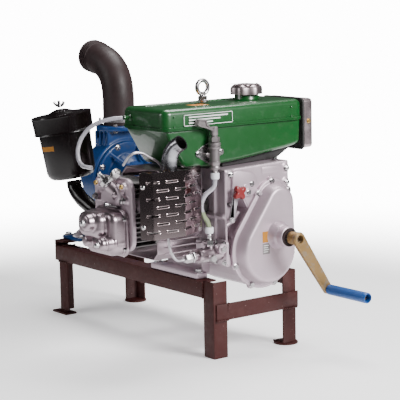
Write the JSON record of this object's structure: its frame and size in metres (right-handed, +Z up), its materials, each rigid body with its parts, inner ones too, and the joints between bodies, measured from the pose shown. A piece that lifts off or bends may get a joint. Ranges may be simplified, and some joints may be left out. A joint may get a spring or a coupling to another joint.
{
  "type": "diesel engine water pump set",
  "caption": "Single-cylinder lying air-cooled diesel engine driving a centrifugal water pump on a welded angle-iron stand, started by a crank handle.",
  "frame": {"origin": "middle of the machine's box, on the floor under its feet", "axes": "+X along the shafts toward the starting handle, the longest way; +Y from the cylinder head toward the headlamp; +Z up"},
  "size_m": [1.0248, 0.6274, 0.7192],
  "materials": {
    "stand_paint": "worn maroon brushed paint",
    "cast_aluminium": "sand-cast, lightly blasted",
    "cast_iron": "as cast",
    "machined_steel": "machined, bright",
    "stainless_sheet": "bright rolled sheet",
    "chrome": "polished",
    "yellow_zinc": "yellow zinc plate, dulled",
    "grip_blue": "moulded",
    "tank_green": "gloss enamel",
    "pump_blue": "gloss enamel on casting",
    "gloss_black": "gloss enamel",
    "satin_black": "satin",
    "black_rubber": "moulded, matt",
    "knob_red": "moulded",
    "clear_hose": "clear tube",
    "lens": "ribbed clear glass",
    "brass": "machined"
  },
  "bodies": {
    "engine": {"near_beam": "stand_paint", "far_beam": "stand_paint", "leg_near_handle": "stand_paint", "leg_far_handle": "stand_paint", "leg_near_pump": "stand_paint", "leg_far_pump": "stand_paint", "handle_end_bar": "stand_paint", "pump_end_bar": "stand_paint", "middle_bar": "stand_paint", "crankcase": "cast_aluminium", "back_cover": "cast_aluminium", "gear_cover": "cast_aluminium", "rocker_cover": "cast_aluminium", "cylinder_head": "cast_aluminium", "governor_plate": "cast_aluminium", "fuel_cock": "cast_aluminium", "cylinder_shroud": "cast_aluminium", "fan_cowl": "cast_aluminium", "barrel": "cast_iron", "silencer": "machined_steel", "injection_pump": "machined_steel", "injector": "machined_steel", "high_pressure_line": "machined_steel", "lifting_eye": "machined_steel", "silencer_guard": "stainless_sheet", "exhaust_pipe": "chrome", "headlamp_shell": "chrome", "tank_top": "tank_green", "tank_bottom": "tank_green", "pump_bearing_housing": "pump_blue", "pump_casing": "pump_blue", "suction_cover": "pump_blue", "air_cleaner_bowl": "gloss_black", "air_cleaner_lid": "gloss_black", "intake_pipe": "gloss_black", "tank_bracket": "satin_black", "headlamp_housing": "satin_black", "shaft_seal": "black_rubber", "discharge_elbow": "black_rubber", "fuel_hose": "clear_hose", "return_hose": "clear_hose"},
    "crankshaft": {"crankshaft_gear_half": "machined_steel", "crankshaft_fan_half": "machined_steel", "flywheel": "cast_iron", "pump_shaft": "machined_steel", "impeller": "cast_iron"},
    "camshaft": {"camshaft": "machined_steel", "cam_gear": "machined_steel"},
    "starting_handle": {"crank_handle": "yellow_zinc"},
    "grip": {"handle_grip": "grip_blue"},
    "piston": {"piston": "cast_aluminium", "piston_pin": "machined_steel", "connecting_rod": "machined_steel", "crank_pin": "machined_steel"},
    "cock_lever": {"fuel_cock_lever": "cast_aluminium"},
    "speed_lever": {"speed_lever": "machined_steel"},
    "speed_knob": {"speed_knob": "knob_red"},
    "decompression_lever": {"decompression_lever": "machined_steel"},
    "filler_cap": {"filler_cap": "chrome"},
    "wing_nut": {"wing_nut": "machined_steel"}
  },
  "joints": [
    {"name": "crankshaft_spin", "type": "hinge", "parent": "engine", "child": "crankshaft", "pos_m": [0.15542, 0.15865, 0.355], "axis": [1, 0, 0], "continuous": true},
    {"name": "camshaft_spin", "type": "hinge", "parent": "engine", "child": "camshaft", "pos_m": [0.15542, 0.14665, 0.281], "axis": [1, 0, 0], "continuous": true},
    {"name": "starting_handle_spin", "type": "hinge", "parent": "engine", "child": "starting_handle", "pos_m": [0.36942, 0.14665, 0.281], "axis": [1, 0, 0], "continuous": true},
    {"name": "grip_spin", "type": "hinge", "parent": "starting_handle", "child": "grip", "pos_m": [0.44342, 0.23565, 0.15], "axis": [1, 0, 0], "continuous": true},
    {"name": "piston_slide", "type": "slide", "parent": "engine", "child": "piston", "axis": [0, 1, 0], "range_m": [0, 0.068]},
    {"name": "fuel_cock_turn", "type": "hinge", "parent": "engine", "child": "cock_lever", "pos_m": [0.25942, -0.00535, 0.54], "axis": [0, 0, 1], "range_deg": [0, 90]},
    {"name": "speed_lever_swing", "type": "hinge", "parent": "engine", "child": "speed_lever", "pos_m": [0.27342, 0.04465, 0.391], "axis": [1, 0, 0], "range_deg": [-15, 15]},
    {"name": "speed_knob_turn", "type": "hinge", "parent": "engine", "child": "speed_knob", "pos_m": [0.28542, 0.04465, 0.391], "axis": [1, 0, 0], "continuous": true},
    {"name": "decompression_swing", "type": "hinge", "parent": "engine", "child": "decompression_lever", "pos_m": [0.09142, -0.25135, 0.322], "axis": [-1, 0, 0], "range_deg": [0, 90]},
    {"name": "filler_cap_turn", "type": "hinge", "parent": "engine", "child": "filler_cap", "pos_m": [0.15942, 0.17065, 0.62], "axis": [0, 0, 1], "range_deg": [0, 60]},
    {"name": "wing_nut_turn", "type": "hinge", "parent": "engine", "child": "wing_nut", "pos_m": [-0.06558, -0.18735, 0.416], "axis": [-0.0885, -0.118, 0.9891], "continuous": true}
  ],
  "couplings": [
    {"joint": "camshaft_spin", "follows": "crankshaft_spin", "ratio": -0.5},
    {"joint": "starting_handle_spin", "follows": "crankshaft_spin", "ratio": -0.5}
  ]
}
